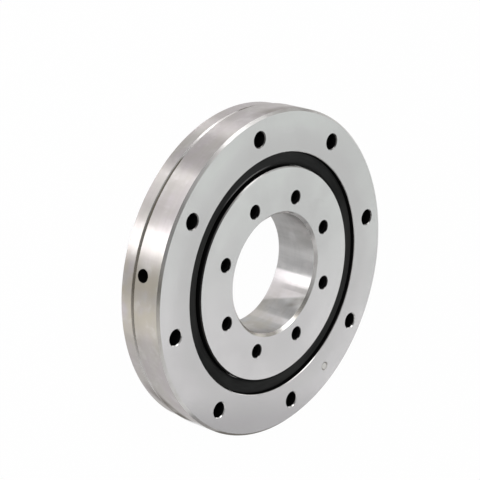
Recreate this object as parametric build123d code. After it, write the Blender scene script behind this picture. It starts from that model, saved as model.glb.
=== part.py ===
from build123d import *
from math import floor, pi, sqrt
import os

os.makedirs("parts", exist_ok=True)

# Crossed roller bearing with bolt holes in both rings. The back face lies on z = 0, the front face looks up
# and the bearing turns about Z. The oil hole in the rim points along -Y. Lengths are in millimetres.

# Bore and width, and the radial steps from the bore's wall outwards: to the inner ring's holes, to the
# middle of the rollers, to the outer ring's holes and to the rim
bore_d = 35.0
width = 15.0
inner_hole_step = 5.0
race_step = 10.5
outer_hole_step = 8.5
rim_step = 6.0

# Edges of both rings
bore_chamfer = 0.8
rim_chamfer = 0.7
pocket_chamfer = 0.3

# Rim of the outer ring: a register in front, then a narrow groove and a back land that clears the housing
register_len = 9.05
back_land_drop = 0.5
rim_groove_width = 0.85
rim_groove_depth = 0.7

# Outer ring's bolt holes, with the screw heads sunk in the back face
outer_hole_count = 8
outer_hole_d = 4.5
counterbore_d = 8.0
counterbore_depth = 4.4
hole_edge_break = 0.25

# Inner ring's holes, as wide as their thread is outside. The ring stands a little turned from the outer one.
inner_hole_count = 8
inner_hole_d = 4.0
thread_countersink = 0.15
inner_ring_turn = 13.8

# Rollers, and the square channel on its corner that the two V races leave for them
race_depth = 6.5
roller_d = 5.5
roller_shortness = 0.2
roller_chamfer = 0.3
roller_gap = 0.08
land_gap = 0.8
root_groove_width = 0.8
root_groove_depth = 0.3

# Spacers between the rollers
spacer_web = 1.2
spacer_len = 3.6
spacer_saddle_gap = 0.1
spacer_race_gap = 0.15

# Seals, sunk in a pocket over the lips of the two rings
pocket_depth = 2.3
outer_lip_len = 1.8
inner_lip_len = 1.45
seal_thickness = 1.15
seal_fit = 0.02
seal_edge_chamfer = 0.25
seal_lip_gap = 0.1
seal_lip_slope = 0.7
seal_lip_height = 0.35
seal_under_gap = 0.2

# Oil hole, and the plug and pin that close the hole for loading the rollers
oil_hole_d = 3.8
plug_d = 7.0
plug_fit = 0.02
plug_angle = 45.0
pin_d = 2.0
pin_fit = 0.01
pin_sink = 0.2
pin_mouth = 0.35
pin_overrun = 0.5

# Radii, heights and counts that follow from the sizes above
bore_r = bore_d / 2
inner_circle_r = bore_r + inner_hole_step
pitch_r = inner_circle_r + race_step
outer_circle_r = pitch_r + outer_hole_step
outer_r = outer_circle_r + rim_step
race_z = width - race_depth
roller_len = roller_d - roller_shortness
channel_side = roller_d + 2 * roller_gap
outer_land_r = pitch_r + land_gap / 2
inner_land_r = pitch_r - land_gap / 2
seat_r = outer_land_r + outer_lip_len
shoulder_r = inner_land_r - inner_lip_len
oil_hole_angle = -90.0
pin_end_z = race_z - plug_d / 2 - pin_overrun
first_outer_hole = oil_hole_angle + 180 / outer_hole_count
roller_count = 2 * floor(pi * pitch_r / (roller_d + spacer_web))
roller_step = 360 / roller_count


def band(r_low, r_high, z_low, z_high):
    """Rectangle in a ring's section, where x is the radius and y is the height."""
    return Pos((r_low + r_high) / 2, (z_low + z_high) / 2) * Rectangle(r_high - r_low, z_high - z_low)


def corners(section, r, *heights):
    """The section's corners at a radius and some heights."""
    return [v for v in section.vertices() if abs(v.X - r) < 1e-5 and min(abs(v.Y - z) for z in heights) < 1e-5]


def turned(section):
    """The solid that a section sweeps round the bearing's axis."""
    return revolve(Plane.XZ * section, Axis.Z)


def frustum(z_low, z_high, r_low, r_high):
    """Cone or cylinder on Z between two heights."""
    height = z_high - z_low
    middle = Pos(0, 0, z_low + height / 2)
    if abs(r_high - r_low) < 1e-6:
        return middle * Cylinder(r_low, height)
    return middle * Cone(r_low, r_high, height)


def on_circle(r, count, start, shape):
    """Copies of a shape, evenly spaced round a circle from a start angle."""
    return [Rot(0, 0, start + 360 * i / count) * Pos(r, 0, 0) * shape for i in range(count)]


def radial_bore(angle, d):
    """Cylinder from the middle of the race out through the rim."""
    length = outer_r - pitch_r + d
    return Rot(0, 0, angle) * Pos(pitch_r + length / 2, 0, race_z) * Rot(0, 90, 0) * Cylinder(d / 2, length)


def race_section():
    """Square channel on its corner, with a relief groove at the root of each race."""
    channel = Pos(pitch_r, race_z) * Rot(0, 0, 45) * Rectangle(channel_side, channel_side)
    reach = channel_side / sqrt(2) + root_groove_depth
    half = root_groove_width / 2
    return channel + band(pitch_r - reach, pitch_r + reach, race_z - half, race_z + half)


def outer_ring_blank():
    """Outer ring as turned and ground, before its holes."""
    back_r = outer_r - back_land_drop
    groove_r = back_r - rim_groove_depth
    groove_top = width - register_len
    groove_bottom = groove_top - rim_groove_width
    rim_relief = make_face(
        Polyline(
            (outer_r + rim_chamfer, groove_top),
            (groove_r, groove_top),
            (groove_r, groove_bottom),
            (back_r, groove_bottom - rim_groove_depth),
            (back_r, -rim_chamfer),
            (outer_r + rim_chamfer, -rim_chamfer),
            close=True,
        )
    )
    section = band(seat_r, outer_r, 0, width) - rim_relief
    section = chamfer(corners(section, outer_r, width) + corners(section, back_r, 0), rim_chamfer)
    section = chamfer(corners(section, seat_r, 0, width), pocket_chamfer)
    section += band(outer_land_r, seat_r, pocket_depth, width - pocket_depth)
    return turned(section - race_section())


def inner_ring_blank():
    """Inner ring as turned and ground, before its holes."""
    section = band(bore_r, shoulder_r, 0, width)
    section = chamfer(corners(section, bore_r, 0, width), bore_chamfer)
    section = chamfer(corners(section, shoulder_r, 0, width), pocket_chamfer)
    section += band(shoulder_r, inner_land_r, pocket_depth, width - pocket_depth)
    return turned(section - race_section())


def outer_bolt_hole():
    """Clearance hole with a broken front edge and a flat seat for the screw's head behind."""
    hole_r = outer_hole_d / 2
    hole = frustum(0, width, hole_r, hole_r)
    hole += frustum(width - hole_edge_break, width, hole_r, hole_r + hole_edge_break)
    return hole + frustum(0, counterbore_depth, counterbore_d / 2, counterbore_d / 2)


def inner_bolt_hole():
    """Hole for a thread, countersunk at both ends."""
    hole_r = inner_hole_d / 2
    mouth_r = hole_r + thread_countersink
    hole = frustum(0, width, hole_r, hole_r)
    hole += frustum(0, thread_countersink, mouth_r, hole_r)
    return hole + frustum(width - thread_countersink, width, hole_r, mouth_r)


def plug_pin():
    """Pin through ring and plug, driven in a little below the front face."""
    pin = frustum(pin_end_z, width - pin_sink, pin_d / 2, pin_d / 2)
    return Rot(0, 0, plug_angle) * Pos(outer_circle_r, 0, 0) * pin


def pin_hole():
    """Blind hole for the pin, with a small countersink in the front face."""
    hole_r = pin_d / 2 + pin_fit
    hole = frustum(pin_end_z, width, hole_r, hole_r)
    hole += frustum(width - pin_mouth, width, hole_r, hole_r + pin_mouth)
    return Rot(0, 0, plug_angle) * Pos(outer_circle_r, 0, 0) * hole


def front_seal():
    """Rubber ring pressed into the outer ring, with a sloped lip beside the inner ring."""
    floor_z = width - pocket_depth
    top_z = floor_z + seal_thickness
    rim_r = seat_r - seal_fit
    lip_r = shoulder_r + seal_lip_gap
    step_r = outer_land_r + seal_under_gap
    outline = Polyline(
        (rim_r - seal_edge_chamfer, top_z),
        (lip_r + seal_lip_slope, top_z),
        (lip_r, floor_z + seal_under_gap + seal_lip_height),
        (lip_r, floor_z + seal_under_gap),
        (step_r, floor_z + seal_under_gap),
        (step_r, floor_z),
        (rim_r, floor_z),
        (rim_r, top_z - seal_edge_chamfer),
        close=True,
    )
    return turned(make_face(outline))


def roller_place(k):
    """Place of roller k, whose axis leans outwards and inwards by turns, always at 45 degrees."""
    lean = 45 if k % 2 == 0 else -45
    return Rot(0, 0, k * roller_step) * Pos(pitch_r, 0, race_z) * Rot(0, lean, 0)


def spacer(k):
    """Square block between rollers k and k + 1, with a saddle for each."""
    side = channel_side - 2 * spacer_race_gap
    block = Box(side, spacer_len, side)
    block = Rot(0, 0, (k + 0.5) * roller_step) * Pos(pitch_r, 0, race_z) * Rot(0, 45, 0) * block
    saddle = Cylinder(roller_d / 2 + spacer_saddle_gap, 3 * roller_len)
    return block - roller_place(k) * saddle - roller_place(k + 1) * saddle


outer_blank = outer_ring_blank()
outer_holes = on_circle(outer_circle_r, outer_hole_count, first_outer_hole, outer_bolt_hole())
outer_ring = outer_blank - outer_holes - radial_bore(oil_hole_angle, oil_hole_d)
outer_ring = outer_ring - radial_bore(plug_angle, plug_d) - pin_hole()
loading_plug = (outer_blank & radial_bore(plug_angle, plug_d - 2 * plug_fit)) - pin_hole()

first_inner_hole = first_outer_hole + inner_ring_turn
inner_holes = on_circle(inner_circle_r, inner_hole_count, first_inner_hole, inner_bolt_hole())
inner_ring = inner_ring_blank() - inner_holes

roller = Cylinder(roller_d / 2, roller_len)
roller = chamfer(roller.edges().filter_by(GeomType.CIRCLE), roller_chamfer)
spacer_pair = [spacer(0), spacer(1)]

parts = {
    "outer_ring": outer_ring,
    "inner_ring": inner_ring,
    "front_seal": front_seal(),
    "back_seal": mirror(front_seal(), about=Plane.XY.offset(width / 2)),
    "loading_plug": loading_plug,
    "plug_pin": plug_pin(),
    "spacers": Compound([Rot(0, 0, (k - k % 2) * roller_step) * spacer_pair[k % 2] for k in range(roller_count)]),
}
for k in range(roller_count):
    parts[f"roller_{k + 1:02d}"] = roller_place(k) * roller

for name, shape in parts.items():
    export_step(shape, f"parts/{name}.step")
    print(name, len(shape.solids()), round(shape.volume, 2))
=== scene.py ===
from math import cos, pi, radians, sin

import bpy
from mathutils import Matrix, Vector


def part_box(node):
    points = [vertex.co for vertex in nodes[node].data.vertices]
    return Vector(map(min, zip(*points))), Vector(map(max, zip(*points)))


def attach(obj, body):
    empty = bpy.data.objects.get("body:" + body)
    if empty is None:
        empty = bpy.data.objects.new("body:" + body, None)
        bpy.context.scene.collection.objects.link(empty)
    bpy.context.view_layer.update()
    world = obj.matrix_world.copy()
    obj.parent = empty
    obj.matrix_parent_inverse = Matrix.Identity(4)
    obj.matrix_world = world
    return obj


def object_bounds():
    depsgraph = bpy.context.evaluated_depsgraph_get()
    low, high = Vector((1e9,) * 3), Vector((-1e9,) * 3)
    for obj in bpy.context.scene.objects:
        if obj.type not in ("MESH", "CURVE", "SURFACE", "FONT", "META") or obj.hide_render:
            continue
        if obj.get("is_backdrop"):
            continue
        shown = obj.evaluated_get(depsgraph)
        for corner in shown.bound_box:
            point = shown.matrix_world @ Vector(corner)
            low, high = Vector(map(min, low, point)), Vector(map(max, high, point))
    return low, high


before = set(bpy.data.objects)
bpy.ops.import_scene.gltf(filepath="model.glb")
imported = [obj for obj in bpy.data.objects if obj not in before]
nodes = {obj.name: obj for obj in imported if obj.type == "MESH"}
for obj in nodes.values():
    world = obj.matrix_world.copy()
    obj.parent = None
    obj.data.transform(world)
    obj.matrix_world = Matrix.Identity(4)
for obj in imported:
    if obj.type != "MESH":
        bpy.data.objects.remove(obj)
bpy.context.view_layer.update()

mm = 0.001

# Outer ring, and the loading plug that is ground together with it: hardened bearing steel, with finely ground
# faces and a rim ground round the axis. Screws through its eight plain holes clamp it in a housing, and
# grease enters through the small hole in the rim.
ring_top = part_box("outer_ring")[1]
width = ring_top.z
rim_r = ring_top.x
race_z = 8.5 * mm
bolt_circle_r = 41.5 * mm
bolt_reach = 4.2 * mm
counterbore_depth = 4.4 * mm
oil_hole_r = 1.9 * mm
seat_r = 35.2 * mm
chamfer_reach = 0.5 * mm
wall_reach = 0.2 * mm
pin_x = bolt_circle_r * cos(radians(45))
pin_mouth_r = 1.6 * mm
groove_z = 5.1 * mm

face_dull = (0.470, 0.467, 0.466)
face_green = (0.585, 0.604, 0.588)
face_violet = (0.606, 0.594, 0.600)
face_darkened = (0.400, 0.393, 0.398)
rim_violet = (0.556, 0.518, 0.532)
rim_beige = (0.534, 0.516, 0.490)
rim_dull = (0.470, 0.438, 0.428)
rim_highlight = (0.900, 0.895, 0.900)
oil_stain = (0.500, 0.462, 0.385)
shade_brown = (0.070, 0.058, 0.040)
smudge_pale = (0.680, 0.660, 0.655)
chamfer_steel = (0.650, 0.640, 0.628)
hole_shade_black = (0.002, 0.002, 0.002)
pin_grey = (0.500, 0.485, 0.470)
edge_shade_dark = (0.200, 0.195, 0.190)

# Grinding marks, each as its waves in a radian along the turn and its waves in a metre across it
face_arcs = (5.0, 5200)
rim_lines = (4.0, 6500)
rim_hoops = (2.5, 1100)
rim_bands = (14.0, 60)
rim_tint_bands = (5.0, 190)
comb_fineness = 90
rim_combs_per_radian = 50.0
rim_comb_height = 0.012 * mm
chamfer_lines = (6.0, 5000)

# Clouds of tone, smears and specks, each as its waves in a metre, its detail and its roughness
face_tint = (30,)
face_clouds = (55, 3.0, 0.55)
face_smears = (190, 4.0, 0.6)
rim_smudges = (270, 3.0)
stain_clouds = (130, 4.0)
shade_clouds = (240, 4.0)
chamfer_smears = (170, 2.0)
hammer_marks = (3000, 2.0)

# Soft edges, each from the value where it starts to the value where it ends, with its strength at both ends
# where they aren't 0 and 1. Slope is 1 on a face and 0 on a wall.
tilted = (0.9, 0.8)
upright = (0.4, 0.3)
edge_fade = 0.1 * mm
fine_fade = 0.02 * mm
cloud_contrast = (0.35, 0.65)
hoop_contrast = (0.3, 0.7)
stain_contrast = (0.35, 0.6)
smudge_contrast = (0.52, 0.7)
smear_contrast = (0.4, 0.65)
shade_contrast = (0.1, 0.5)
face_tint_x = (-25 * mm, 40 * mm)
face_tint_sway = 14 * mm

# Places on the outer ring: soft edges again, and bands, each with its middle, reach, fade and strength. The
# photograph shows the bearing standing on its rim, with its foot at +X and its top at -X.
oil_side_y = (0, -mm)
face_inner_dark_r = (45 * mm, 37 * mm, 0.0, 0.6)
face_foot_shade_x = (32 * mm, 44 * mm, 0.0, 0.9)
oil_run_near_x = (-8 * mm, 2 * mm)
oil_run_far_x = (26 * mm, 10 * mm)
oil_on_edge = 0.6
oil_on_rim = 0.8
chamfer_foot_shade_x = (39 * mm, 43 * mm, 0.0, 0.32)
chamfer_foot_dark_x = (44 * mm, 45.5 * mm, 0.0, 0.55)
chamfer_top_shade_x = (-38 * mm, -43 * mm, 0.0, 0.3)
chamfer_top_shade_y = (-17 * mm, -9 * mm)
rim_highlight_near_x = (41.3 * mm, 43.3 * mm)
rim_highlight_far_x = (46.6 * mm, 44.6 * mm)
slant_shade_near_x = (29 * mm, 40 * mm)
slant_shade_far_x = (43.2 * mm, 42 * mm)
slant_shade_y = (-12 * mm, -18 * mm)
slant_shade_tilt = 0.5
slant_shade_band = (-12.9 * mm, 1.0 * mm, 2.8 * mm)
rim_top_shade_x = (-43.5 * mm, -46 * mm, 0.0, 0.5)
rim_top_shade_z = (10 * mm, 13.5 * mm)
rim_shade_band_z = (7 * mm, 0.5 * mm, 3 * mm, 0.08)
rim_shade_strength = 0.8
bolt_edge_glint_x = (-25 * mm, 12 * mm)
counterbore_top_z = (counterbore_depth, counterbore_depth + 0.05 * mm)
groove_r = (rim_r - 0.9 * mm, 0.36 * mm, 0.04 * mm)
groove_shade_fade_x = (16 * mm, 26 * mm, 1.0, 0.2)
groove_shade_start_x = (-32 * mm, -30.5 * mm, 0.0, 0.85)
groove_shade_end_x = (-20 * mm, -5 * mm, 1.0, 0.75)
groove_shade_z = (groove_z + 0.2 * mm, 0.62 * mm, 0.12 * mm)
groove_wide_shade_x = (-20 * mm, -5 * mm, 0.0, 0.55)
groove_top_shade_x = (-44 * mm, -45.2 * mm, 0.0, 0.9)
groove_wide_shade_z = (groove_z, 0.9 * mm, 0.1 * mm)
pocket_shade_z = (width / 2, width / 2 - 0.19 * mm, 0.04 * mm)
oil_wall_r = (rim_r - 0.12 * mm, rim_r - 0.2 * mm)


class Wire:
    """A socket in a shader tree. Arithmetic on it adds Math nodes."""

    def __init__(self, tree, socket=None):
        self.tree = tree
        self.socket = socket

    def add(self, kind, settings=None, sockets=None, out=0):
        """Adds a node: its settings, then the values or wires of its sockets. Gives one of its outputs."""
        node = self.tree.nodes.new("ShaderNode" + kind)
        for name, value in (settings or {}).items():
            setattr(node, name, value)
        for name, value in (sockets or {}).items():
            if isinstance(value, Wire):
                self.tree.links.new(value.socket, node.inputs[name])
            elif isinstance(value, tuple):
                node.inputs[name].default_value = (*value, 1)
            else:
                node.inputs[name].default_value = value
        return Wire(self.tree, node.outputs[out] if node.outputs else None)

    def math(self, operation, *values):
        """A Math node over some values."""
        return self.add("Math", {"operation": operation}, dict(enumerate(values)))

    def __add__(self, other):
        return self.math("ADD", self, other)

    __radd__ = __add__

    def __sub__(self, other):
        return self.math("SUBTRACT", self, other)

    def __rsub__(self, other):
        return self.math("SUBTRACT", other, self)

    def __mul__(self, other):
        return self.math("MULTIPLY", self, other)

    __rmul__ = __mul__

    def ramp(self, low, high, to_low=0.0, to_high=1.0):
        """Smooth step from to_low to to_high while the value goes from low to high."""
        values = {0: self, 1: low, 2: high, 3: to_low, 4: to_high}
        return self.add("MapRange", {"interpolation_type": "SMOOTHSTEP"}, values)

    def near(self, middle, reach, fade, strength=1.0):
        """Full strength where the value lies within reach of a middle, fading to 0 beyond."""
        return self.math("ABSOLUTE", self - middle).ramp(reach, reach + fade, strength, 0.0)

    def larger(self, other):
        """The larger of this value and another."""
        return self.math("MAXIMUM", self, other)

    def away(self, other):
        """Distance from an axis, from the two offsets across it."""
        flat = self.add("CombineXYZ", None, {0: self, 1: other})
        return self.add("VectorMath", {"operation": "LENGTH"}, {0: flat}, out=1)

    def mix(self, colour, other):
        """Colour that goes from one to the other as this value goes from 0 to 1."""
        return self.add("Mix", {"data_type": "RGBA"}, {0: self, 6: colour, 7: other}, out=2)

    def noise(self, scale, detail=2.0, roughness=0.5):
        """Even noise over this vector."""
        sockets = {"Vector": self, "Scale": scale, "Detail": detail, "Roughness": roughness}
        return self.add("TexNoise", None, sockets)

    def bump(self, strength, distance):
        """Normal of a surface raised by this value."""
        return self.add("Bump", None, {"Strength": strength, "Distance": distance, "Height": self})


def new_material(name):
    """Material with an empty tree, and a wire to build it from."""
    material = bpy.data.materials.new(name)
    material.use_nodes = True
    material.node_tree.nodes.clear()
    return material, Wire(material.node_tree)


def finish_material(wire, shader):
    """Joins a shader to the material's output."""
    wire.add("OutputMaterial", None, {"Surface": shader})


def dress(node, material):
    """Gives a CAD node its finished material."""
    nodes[node].data.materials.clear()
    nodes[node].data.materials.append(material)


def blend(factor, shader, other):
    """Goes from one shader to another as the factor goes from 0 to 1."""
    return factor.add("MixShader", None, {0: factor, 1: shader, 2: other})


class Turned:
    """Places on a turned piece: coordinates, radius, slope of the surface, and marks round the axis."""

    def __init__(self, wire):
        self.place = wire.add("TexCoord", out="Object")
        self.x, self.y, self.z = (wire.add("SeparateXYZ", None, {0: self.place}, out=i) for i in range(3))
        self.r = self.x.away(self.y)
        flat = wire.add("CombineXYZ", None, {0: self.x, 1: self.y})
        self.round = wire.add("VectorMath", {"operation": "NORMALIZE"}, {0: flat})
        normal = wire.add("TexCoord", out="Normal")
        self.slope = wire.math("ABSOLUTE", wire.add("SeparateXYZ", None, {0: normal}, out=2))

    def streaks(self, across, per_radian, fineness, detail=3.0):
        """Noise drawn out round the axis, fine in the direction of the given coordinate."""
        turn = self.round
        turn = turn.add("VectorMath", {"operation": "SCALE"}, {0: turn, "Scale": per_radian})
        shift = turn.add("CombineXYZ", None, {2: across * fineness})
        return turn.add("VectorMath", {"operation": "ADD"}, {0: turn, 1: shift}).noise(1.0, detail, 0.6)


def ground_face(wire, at, toned, darkened):
    """Finely ground flat face: satin, a little cloudy, with faint arcs; duller by the first mask and darker
    by the second, which is painted shade at the outer ring's foot.
    """
    tint = (at.x + face_tint_sway * at.place.noise(*face_tint)).ramp(*face_tint_x)
    pale = tint.mix(face_green, face_violet)
    clouds = at.place.noise(*face_clouds)
    smears = at.place.noise(*face_smears)
    pale_share = (0.45 + 0.35 * clouds.ramp(*cloud_contrast) + 0.2 * smears) * (1 - toned)
    look = {
        "Base Color": darkened.mix(pale_share.mix(face_dull, pale), face_darkened),
        "Metallic": 1.0,
        "Roughness": 0.20 + 0.05 * clouds + 0.05 * smears,
        "Normal": at.streaks(at.r, *face_arcs).bump(0.05, 0.004 * mm),
    }
    return wire.add("BsdfPrincipled", None, look)


def ground_round(wire, at, pale, dull, combs_per_radian, comb_height, stain):
    """Surface ground round the axis: its fine lines stretch each reflection along the axis."""
    lines = at.streaks(at.z, *rim_lines)
    hoops = at.streaks(at.z, *rim_hoops).ramp(*hoop_contrast)
    bands = at.streaks(at.z, *rim_bands, detail=4.0).ramp(*hoop_contrast)
    combs = at.streaks(at.z, combs_per_radian, comb_fineness, detail=4.0)
    pale_share = 0.5 * bands + 0.3 * hoops + 0.2 * lines
    stained = stain * at.place.noise(*stain_clouds).ramp(*stain_contrast)
    colour = stained.mix(pale_share.mix(dull, pale), oil_stain)
    smudged = 0.35 * at.place.noise(*rim_smudges).ramp(*smudge_contrast)
    look = {
        "Base Color": smudged.mix(colour, smudge_pale),
        "Metallic": 1.0,
        "Roughness": 0.32 + 0.06 * lines,
        "Normal": (0.1 * lines + combs).bump(1.0, comb_height),
        "Anisotropic": 1.0,
        "Anisotropic Rotation": 0.25,
    }
    return wire.add("BsdfPrincipled", None, look)


def turned_edge(wire, at, stain):
    """Chamfer as turned: smoother than the ground faces, with smears of dried oil."""
    smears = at.place.noise(*chamfer_smears).ramp(*smear_contrast)
    look = {
        "Base Color": (0.4 * smears).mix(stain.mix(chamfer_steel, oil_stain), rim_dull),
        "Metallic": 1.0,
        "Roughness": 0.19 + 0.02 * at.streaks(at.z, *chamfer_lines) + 0.06 * smears,
    }
    return wire.add("BsdfPrincipled", None, look)


def peened_edge(wire, at):
    """Edge hammered over the pin, rough and dull."""
    rough = 0.45 + 0.15 * at.place.noise(*hammer_marks)
    return wire.add("BsdfPrincipled", None, {"Base Color": pin_grey, "Metallic": 1.0, "Roughness": rough})


def shaded_hole_edge(wire, pale_share):
    """Broken edge of a drilled hole: glossy, darkened with painted shade, and bright steel where the mask
    says, so that it catches glints there.
    """
    colour = pale_share.mix(edge_shade_dark, chamfer_steel)
    return wire.add("BsdfPrincipled", None, {"Base Color": colour, "Metallic": 1.0, "Roughness": 0.16})


def black_shade(wire):
    """Painted shade: near black, laid on the walls of holes and pockets and on the threads."""
    look = {"Base Color": hole_shade_black, "Roughness": 0.55, "Specular IOR Level": 0.05}
    return wire.add("BsdfPrincipled", None, look)


def brown_shade(wire):
    """Painted shade: dull dark brown, laid in a groove or along an edge that should look dark."""
    look = {"Base Color": shade_brown, "Roughness": 0.6, "Specular IOR Level": 0.1}
    return wire.add("BsdfPrincipled", None, look)


outer_steel, wire = new_material("outer_ring_steel")
at = Turned(wire)
oil_side = at.y.ramp(*oil_side_y)

# Faces, darker towards the seal, and darkened at the foot with painted shade
shader = ground_face(wire, at, at.r.ramp(*face_inner_dark_r), at.x.ramp(*face_foot_shade_x))

# Chamfers, with oil that ran from the oil hole, and painted shade at the foot and at the top
oil_run = at.x.ramp(*oil_run_near_x) * at.x.ramp(*oil_run_far_x) * oil_side
foot_shade = at.x.ramp(*chamfer_foot_shade_x) + at.x.ramp(*chamfer_foot_dark_x)
top_shade = at.x.ramp(*chamfer_top_shade_x) * at.y.ramp(*chamfer_top_shade_y)
shader = blend(at.slope.ramp(*tilted), shader, turned_edge(wire, at, oil_on_edge * oil_run))
shader = blend((foot_shade + top_shade) * at.slope.ramp(*tilted), shader, brown_shade(wire))

# Rim: a painted highlight beside the foot, and painted shade in a slanting band there, at the top and in a
# faint band round it
painted_highlight = at.x.ramp(*rim_highlight_near_x) * at.x.ramp(*rim_highlight_far_x)
rim_pale = at.streaks(at.z, *rim_tint_bands).ramp(*cloud_contrast).mix(rim_beige, rim_violet)
rim_pale = painted_highlight.mix(rim_pale, rim_highlight)
rim_grey = painted_highlight.mix(rim_dull, rim_highlight)
stain = oil_on_rim * oil_run
rim_steel = ground_round(wire, at, rim_pale, rim_grey, rim_combs_per_radian, rim_comb_height, stain)
slant_shade = at.x.ramp(*slant_shade_near_x) * at.x.ramp(*slant_shade_far_x) * at.y.ramp(*slant_shade_y)
slant_shade = slant_shade * (at.z - slant_shade_tilt * at.x).near(*slant_shade_band)
top_shade = at.x.ramp(*rim_top_shade_x) * at.z.ramp(*rim_top_shade_z)
shade_mask = rim_shade_strength * (slant_shade + top_shade + at.z.near(*rim_shade_band_z))
shade_mask = shade_mask * at.place.noise(*shade_clouds).ramp(*shade_contrast)
rim_steel = blend(shade_mask, rim_steel, brown_shade(wire))
shader = blend(at.slope.ramp(*upright), shader, rim_steel)

# Mouth of the pin's hole, and the bolt holes in front of their counterbores: their edges darkened with
# painted shade except where they catch glints, their walls painted black as shade
pin_mouth = (at.x - pin_x).away(at.y - pin_x).ramp(pin_mouth_r + edge_fade, pin_mouth_r)
shader = blend(pin_mouth * at.slope.ramp(*tilted), shader, peened_edge(wire, at))
bolt_zone = at.r.near(bolt_circle_r, bolt_reach, edge_fade) * (1 - pin_mouth) * at.z.ramp(*counterbore_top_z)
bolt_edge = shaded_hole_edge(wire, at.x.ramp(*bolt_edge_glint_x))
shader = blend(bolt_zone * at.slope.ramp(*tilted), shader, bolt_edge)
bolt_wall = bolt_zone * at.slope.ramp(*upright)

# Relief groove: a narrow line of painted shade that widens below the oil hole, and painted shade again at the
# top
groove_shade = at.x.ramp(*groove_shade_start_x) * at.x.ramp(*groove_shade_end_x) * at.z.near(*groove_shade_z)
wide_shade = (at.x.ramp(*groove_wide_shade_x) + at.x.ramp(*groove_top_shade_x)) * at.z.near(*groove_wide_shade_z)
groove = at.r.near(*groove_r) * at.x.ramp(*groove_shade_fade_x)
shader = blend(groove * groove_shade.larger(wide_shade), shader, brown_shade(wire))

# Seal's pocket: its wall and the lower part of its chamfers are painted black as shade
pocket_edge = at.r.ramp(seat_r + chamfer_reach, seat_r + chamfer_reach - edge_fade)
pocket_edge = pocket_edge * at.slope.ramp(*tilted) * at.z.near(*pocket_shade_z)
pocket_wall = at.r.ramp(seat_r + wall_reach, seat_r + wall_reach - edge_fade) * at.slope.ramp(*upright)
shader = blend(pocket_edge.larger(pocket_wall), shader, black_shade(wire))

# Oil hole: its wall, up to a little below the rim, painted black as shade
oil_wall = at.x.away(at.z - race_z).ramp(oil_hole_r + edge_fade, oil_hole_r + fine_fade)
oil_wall = oil_wall * oil_side * at.r.ramp(*oil_wall_r)
finish_material(wire, blend(bolt_wall.larger(oil_wall), shader, black_shade(wire)))
dress("outer_ring", outer_steel)
dress("loading_plug", outer_steel)

# Inner ring: the same steel, ground on both faces and in the bore. Its eight holes are tapped for the screws
# that hold the shaft's flange, and a single-start thread runs through each.
thread_circle_r = 22.5 * mm
thread_reach = 2.3 * mm
thread_hole_r = 2.0 * mm
thread_count = 8
first_thread = radians(-90 + 180 / 8 + 13.8)
thread_pitch = 0.7 * mm
thread_depth = 0.38 * mm
thread_lead_in = 0.5 * mm
thread_steps_per_turn = 20
shoulder_r = 31.15 * mm
bore_highlight_white = (0.950, 0.905, 0.920)
bore_highlight_grey = (0.860, 0.820, 0.835)
bore_clean = (0.575, 0.570, 0.570)
bore_grey = (0.485, 0.479, 0.478)

# Ridge of the thread in section: how high, as a part of the depth, and where, as a part of the pitch
thread_profile = ((0, -0.42), (1, -0.06), (1, 0.06), (0, 0.42))

# Places on the inner ring, as soft edges and bands
inner_darker_r = (28 * mm, 22 * mm, 0.0, 0.12)
bore_oil_x = (2 * mm, 14 * mm, 0.0, 0.5)
bore_edge_r = (19 * mm, 18.5 * mm)
bore_edge_bright_y = (8 * mm, 2 * mm, 2.5 * mm, 0.8)
bore_edge_shade_x = (10 * mm, 14 * mm, 0.0, 0.25)
bore_edge_shade_y = (5 * mm, 3.5 * mm)
bore_combs_per_radian = 18.0
bore_comb_height = 0.004 * mm
patch_slant = 0.29
patch_foot = (12.1 * mm, 11.2 * mm)
patch_top_x = (1.6 * mm, 2.5 * mm)
patch_z = (17 * mm, 7 * mm)
strip_x = (14.9 * mm, 0.5 * mm, 0.5 * mm, 0.35)
bore_top_shade_x = (-4 * mm, -8 * mm, 0.0, 0.25)
bore_foot_shade_x = (12 * mm, 1.4 * mm, 0.8 * mm, 0.12)
patch_line_x = (6.3 * mm, 0.5 * mm, 0.5 * mm, 0.25)
patch_line_z = (3 * mm, 8 * mm)
patch_border = (13.1 * mm, 0.7 * mm, 1.0 * mm, 0.45)
patch_border_z = (8.5 * mm, 11.5 * mm)
thread_edge_glint_x = (5 * mm, 15 * mm, 0.0, 0.2)
shoulder_shade_x = (-25 * mm, -5 * mm, 0.35, 0.95)

inner_steel, wire = new_material("inner_ring_steel")
at = Turned(wire)
# Faces, a little darker towards the bore
shader = ground_face(wire, at, 0.0, at.r.ramp(*inner_darker_r))

# Chamfers, stained with oil at the foot except on one stretch of the bore's edge, which is left bright as a
# painted highlight, and darkened beside it with painted shade
bore_oil = at.x.ramp(*bore_oil_x)
edge_oil = bore_oil * (1 - at.y.near(*bore_edge_bright_y))
shader = blend(at.slope.ramp(*tilted), shader, turned_edge(wire, at, edge_oil))
edge_shade = at.x.ramp(*bore_edge_shade_x) * at.y.ramp(*bore_edge_shade_y) * at.r.ramp(*bore_edge_r)
shader = blend(edge_shade * at.slope.ramp(*tilted), shader, brown_shade(wire))

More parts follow.
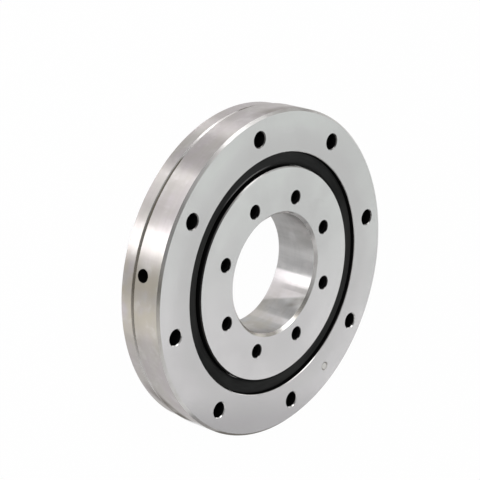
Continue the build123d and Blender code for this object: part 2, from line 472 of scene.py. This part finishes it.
# Bore: a painted highlight in a slanting patch and in a narrow strip at the foot, with painted shade at the
# top and round the patch
slant = at.x + patch_slant * at.z
painted_highlight = at.x.ramp(*patch_top_x) * slant.ramp(*patch_foot) * at.z.ramp(*patch_z) + at.x.near(*strip_x)
bore_pale = painted_highlight.mix(bore_clean, bore_highlight_white)
bore_dull = painted_highlight.mix(bore_grey, bore_highlight_grey)
bore_steel = ground_round(wire, at, bore_pale, bore_dull, bore_combs_per_radian, bore_comb_height, bore_oil)
shade_mask = at.x.ramp(*bore_top_shade_x) + at.x.near(*bore_foot_shade_x)
shade_mask = shade_mask + at.x.near(*patch_line_x) * at.z.ramp(*patch_line_z)
shade_mask = shade_mask + slant.near(*patch_border) * at.z.ramp(*patch_border_z)
shade_mask = shade_mask * at.place.noise(*shade_clouds).ramp(*shade_contrast)
bore_steel = blend(shade_mask, bore_steel, brown_shade(wire))
shader = blend(at.slope.ramp(*upright), shader, bore_steel)

# Tapped holes, and the shoulder beside the seal, painted black as shade
thread_zone = at.r.near(thread_circle_r, thread_reach, edge_fade)
thread_edge = shaded_hole_edge(wire, at.x.ramp(*thread_edge_glint_x))
shader = blend(thread_zone * at.slope.ramp(*tilted), shader, thread_edge)
shoulder_edge = at.r.ramp(shoulder_r - chamfer_reach, shoulder_r - chamfer_reach + edge_fade)
shoulder_edge = shoulder_edge * at.slope.ramp(*tilted) * at.x.ramp(*shoulder_shade_x)
shader = blend(shoulder_edge, shader, black_shade(wire))
thread_wall = thread_zone * at.slope.ramp(*upright)
shoulder_wall = at.r.ramp(shoulder_r - wall_reach, shoulder_r - wall_reach + edge_fade)
shoulder_wall = shoulder_wall * at.slope.ramp(*upright)
finish_material(wire, blend(thread_wall.larger(shoulder_wall), shader, black_shade(wire)))
dress("inner_ring", inner_steel)

# Threads, painted black as the tapped holes' shade
thread_steel, wire = new_material("thread_steel")
finish_material(wire, black_shade(wire))


def thread_mesh(centre):
    """Helical ridge on the wall of one tapped hole, running out at both faces."""
    turns = (width - 2 * thread_lead_in) / thread_pitch
    steps = int(turns * thread_steps_per_turn)
    verts = []
    for i in range(steps + 1):
        angle = 2 * pi * i / thread_steps_per_turn
        z = thread_lead_in + thread_pitch * i / thread_steps_per_turn
        run_out = min(1, min(i, steps - i) / (thread_steps_per_turn / 2))
        for height, across in thread_profile:
            r = thread_hole_r - thread_depth * height * run_out
            verts.append(centre + Vector((r * cos(angle), r * sin(angle), z + across * thread_pitch)))
    row = len(thread_profile)
    faces = []
    for i in range(steps):
        for k in range(row - 1):
            corner = row * i + k
            faces.append((corner, corner + 1, corner + row + 1, corner + row))
    mesh = bpy.data.meshes.new("thread")
    mesh.from_pydata(verts, [], faces)
    mesh.materials.append(thread_steel)
    return mesh


for i in range(thread_count):
    angle = first_thread + 2 * pi * i / thread_count
    centre = Vector((thread_circle_r * cos(angle), thread_circle_r * sin(angle), 0))
    thread = bpy.data.objects.new(f"thread_{i + 1}", thread_mesh(centre))
    bpy.context.collection.objects.link(thread)
    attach(thread, "inner_ring")

# Seals: rings of black nitrile rubber, moulded, pressed into the outer ring's pockets over the rollers. The
# mould's turned wall has left fine lines round them and a rounded lip. A film of grease gives them a soft
# sheen, which is partly painted: the rubber is lighter towards both ends of Y.
lip_edge_r = 31.95 * mm
rubber_black = (0.0020, 0.0024, 0.0022)
rubber_grey = (0.0120, 0.0127, 0.0123)
rubber_sheen = (0.0155, 0.0160, 0.0150)
mould_lines = (5.0, 1600)
grease_clouds = (160, 3.0)
sheen_y = (25 * mm, 31 * mm)
lip_rounding_r = (lip_edge_r - 0.02 * mm, lip_edge_r + 0.30 * mm)
wet_lip_r = (lip_edge_r + 0.14 * mm, 0.17 * mm, 0.05 * mm)
wet_lip_x = (-18 * mm, -23 * mm)
wet_lip_y = (-7 * mm, -14 * mm)

seal_rubber, wire = new_material("seal_rubber")
at = Turned(wire)
film = at.place.noise(*grease_clouds)
lines = at.streaks(at.r, *mould_lines)
toned = 0.4 * film + 0.6 * lines.ramp(*cloud_contrast)
# Painted sheen: lighter rubber towards both ends of Y
painted_sheen = wire.math("ABSOLUTE", at.y).ramp(*sheen_y)
wet = at.r.near(*wet_lip_r) * at.x.ramp(*wet_lip_x) * at.y.ramp(*wet_lip_y)
look = {
    "Base Color": painted_sheen.mix(toned.mix(rubber_black, rubber_grey), rubber_sheen),
    "Roughness": (0.40 + 0.15 * film) * (1 - 0.5 * wet),
    "Normal": (0.08 * lines + 0.93 * at.r.ramp(*lip_rounding_r)).bump(1.0, 0.1 * mm),
    "Specular IOR Level": 0.22,
    "Coat Weight": wet,
    "Coat Roughness": 0.1,
    "Coat IOR": 1.8,
    "Anisotropic": 1.0,
    "Anisotropic Rotation": 0.25,
}
finish_material(wire, wire.add("BsdfPrincipled", None, look))
dress("front_seal", seal_rubber)
dress("back_seal", seal_rubber)

# Lock pin: a short pin of soft steel, driven through the ring and the loading plug from the front and cut off
# a little below the face.
pin_pale = (0.60, 0.60, 0.57)
cut_grain = (2500, 2.0)

pin_steel, wire = new_material("pin_steel")
grain = wire.add("TexCoord", out="Object").noise(*cut_grain)
look = {"Base Color": grain.mix(pin_grey, pin_pale), "Metallic": 1.0, "Roughness": 0.28 + 0.2 * grain}
finish_material(wire, wire.add("BsdfPrincipled", None, look))
dress("plug_pin", pin_steel)

# Rollers: short cylinders of bearing steel, ground and lapped bright, each crossed at a right angle to the
# next. They run in the race between the rings, under a thin film of grease.
roller_bright = (0.66, 0.66, 0.65)
grease = (0.52, 0.47, 0.36)
film_clouds = (420, 3.0)
film_contrast = (0.45, 0.7)

roller_steel, wire = new_material("roller_steel")
film = wire.add("TexCoord", out="Object").noise(*film_clouds).ramp(*film_contrast)
look = {
    "Base Color": (0.5 * film).mix(roller_bright, grease),
    "Metallic": 1.0,
    "Roughness": 0.10 + 0.22 * film,
}
finish_material(wire, wire.add("BsdfPrincipled", None, look))
for name in nodes:
    if name.startswith("roller_"):
        dress(name, roller_steel)

# Spacers: blocks of dark moulded resin that keep the rollers apart, hollowed on both sides to the rollers'
# shape. They lie loose in the race.
resin_dark = (0.030, 0.028, 0.026)
resin_worn = (0.060, 0.056, 0.050)
resin_clouds = (900, 4.0)
resin_grain = (3000, 2.0)

spacer_resin, wire = new_material("spacer_resin")
place = wire.add("TexCoord", out="Object")
wear = place.noise(*resin_clouds)
look = {
    "Base Color": wear.mix(resin_dark, resin_worn),
    "Roughness": 0.45 + 0.2 * wear,
    "Normal": place.noise(*resin_grain).bump(0.2, 0.02 * mm),
}
finish_material(wire, wire.add("BsdfPrincipled", None, look))
dress("spacers", spacer_resin)

# Floor: a wide white board under the bearing, which shows white in the picture and in the steel and keeps a
# little of the shadow. Seen from below it vanishes, so that the back can be looked at.
floor_half = 3.0
floor_white = (0.80, 0.80, 0.80)
board_glow = 0.98
full_white = (1.0, 1.0, 1.0)

floor_mesh = bpy.data.meshes.new("floor")
corners = [(x * floor_half, y * floor_half, 0) for x, y in ((-1, -1), (1, -1), (1, 1), (-1, 1))]
floor_mesh.from_pydata(corners, [], [(0, 1, 2, 3)])
floor_paint, wire = new_material("floor_paint")
path = wire.add("LightPath", out="Is Camera Ray") + wire.add("LightPath", out="Is Glossy Ray")
path = path + wire.add("LightPath", out="Is Transmission Ray")
paint = wire.add("BsdfDiffuse", None, {"Color": floor_white})
glow = wire.add("Emission", None, {"Color": full_white, "Strength": 1.0})
board = blend(path * board_glow, paint, glow)
below = wire.add("NewGeometry", out="Backfacing")
finish_material(wire, blend(below, board, wire.add("BsdfTransparent")))
floor_mesh.materials.append(floor_paint)
floor = bpy.data.objects.new("floor", floor_mesh)
bpy.context.collection.objects.link(floor)
floor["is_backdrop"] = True

# Room: an even, weak fill light from all round, in place of a room's pale walls, so that no reflection in the
# steel is quite black.
room_fill = 0.15

world = bpy.data.worlds.new("room")
bpy.context.scene.world = world
world.use_nodes = True
world.node_tree.nodes.clear()
wire = Wire(world.node_tree)
fill = wire.add("Background", None, {"Color": full_white, "Strength": room_fill})
wire.add("OutputWorld", None, {"Surface": fill})

# Lamps: soft boxes round the bearing, all facing it from the same distance. Each row gives a name, the
# azimuth and elevation that it is seen at, its width and height as angles in degrees, and its brightness,
# where 1 is white as seen from the bearing.
lamp_distance = 0.7
lamp_target = Vector((0, 0, width / 2))
soft_boxes = (
    ("key", 259.5, 14, 14.6, 27, 7.5),
    ("key_halo", 259, 14, 22, 27, 7.4),
    ("side_strip", 224.5, 7, 20, 13, 6.6),
    ("side_fill", 240, 7, 12, 13, 4.0),
    ("side_mid", 230.5, 20.5, 32, 14, 1.0),
    ("side_edge", 218, 7, 8, 13, 6.6),
    ("top_low", 178.5, 7, 11.5, 13, 6.0),
    ("top_mid", 178.5, 20.5, 11.5, 14, 1.4),
    ("top_wide", 150, 14, 44, 27, 0.65),
    ("top_box", 169, 37.5, 24, 23, 2.35),
    ("top_corner", 156, 25, 12, 14, 0.3),
    ("top_fill", 131, 41, 36, 22, 0.5),
    ("left_wall", 205, 38, 45, 18, 0.35),
    ("left_corner", 189, 41, 11, 14, 0.25),
    ("left_top", 250, 53, 20, 12, 0.25),
    ("top_right", 110, 8, 34, 14, 1.2),
    ("low_strip", 307.5, 7, 22.5, 13, 3.5),
    ("low_mid", 307.5, 20.5, 22.5, 14, 1.4),
    ("low_wide", 347, 14, 54, 27, 0.7),
    ("near_box", 328, 38, 44, 20, 0.6),
    ("right_top", 292, 54, 30, 14, 0.35),
    ("low_right", 30, 10, 26, 20, 0.35),
    ("far_low", 62, 7, 28, 13, 6.5),
    ("far_mid", 70, 20.5, 32, 14, 1.0),
    ("far_box", 83, 38, 36, 20, 0.835),
    ("overhead", 88, 65, 50, 30, 1.4),
    ("ceiling", 250, 75, 60, 24, 0.9),
)

for name, azimuth, elevation, wide, high, brightness in soft_boxes:
    a, e = radians(azimuth), radians(elevation)
    towards = Vector((cos(a) * cos(e), sin(a) * cos(e), sin(e)))
    lamp = bpy.data.lights.new(name, "AREA")
    lamp.shape = "RECTANGLE"
    lamp.size = 2 * lamp_distance * sin(radians(wide) / 2)
    lamp.size_y = 2 * lamp_distance * sin(radians(high) / 2)
    lamp.energy = brightness * pi * lamp.size * lamp.size_y
    box = bpy.data.objects.new(name, lamp)
    box.rotation_euler = towards.to_track_quat("Z", "Y").to_euler()
    box.location = lamp_target + lamp_distance * towards
    box.visible_camera = False
    bpy.context.collection.objects.link(box)

# Camera, where the photograph's was. The photograph shows the bearing standing on its rim, so the picture's
# upright is a line across the bearing's face.
camera_place = Vector((-87.49, -380.22, 320.63)) * mm
camera_aim = Vector((-8.54, -9.08, 7.50)) * mm
upright_angle = radians(192.56)
camera_lens = 131.33
sensor_width = 36
nearest_seen = 0.01

back = (camera_place - camera_aim).normalized()
right = Vector((cos(upright_angle), sin(upright_angle), 0)).cross(back).normalized()
turn = Matrix((right, back.cross(right), back)).transposed().to_4x4()
camera_data = bpy.data.cameras.new("camera")
camera_data.sensor_width = sensor_width
camera_data.lens = camera_lens
camera_data.clip_start = nearest_seen
camera = bpy.data.objects.new("camera", camera_data)
camera.matrix_world = Matrix.Translation(camera_place) @ turn
bpy.context.collection.objects.link(camera)
bpy.context.scene.camera = camera
bpy.context.scene.view_settings.view_transform = "Standard"

low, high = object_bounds()
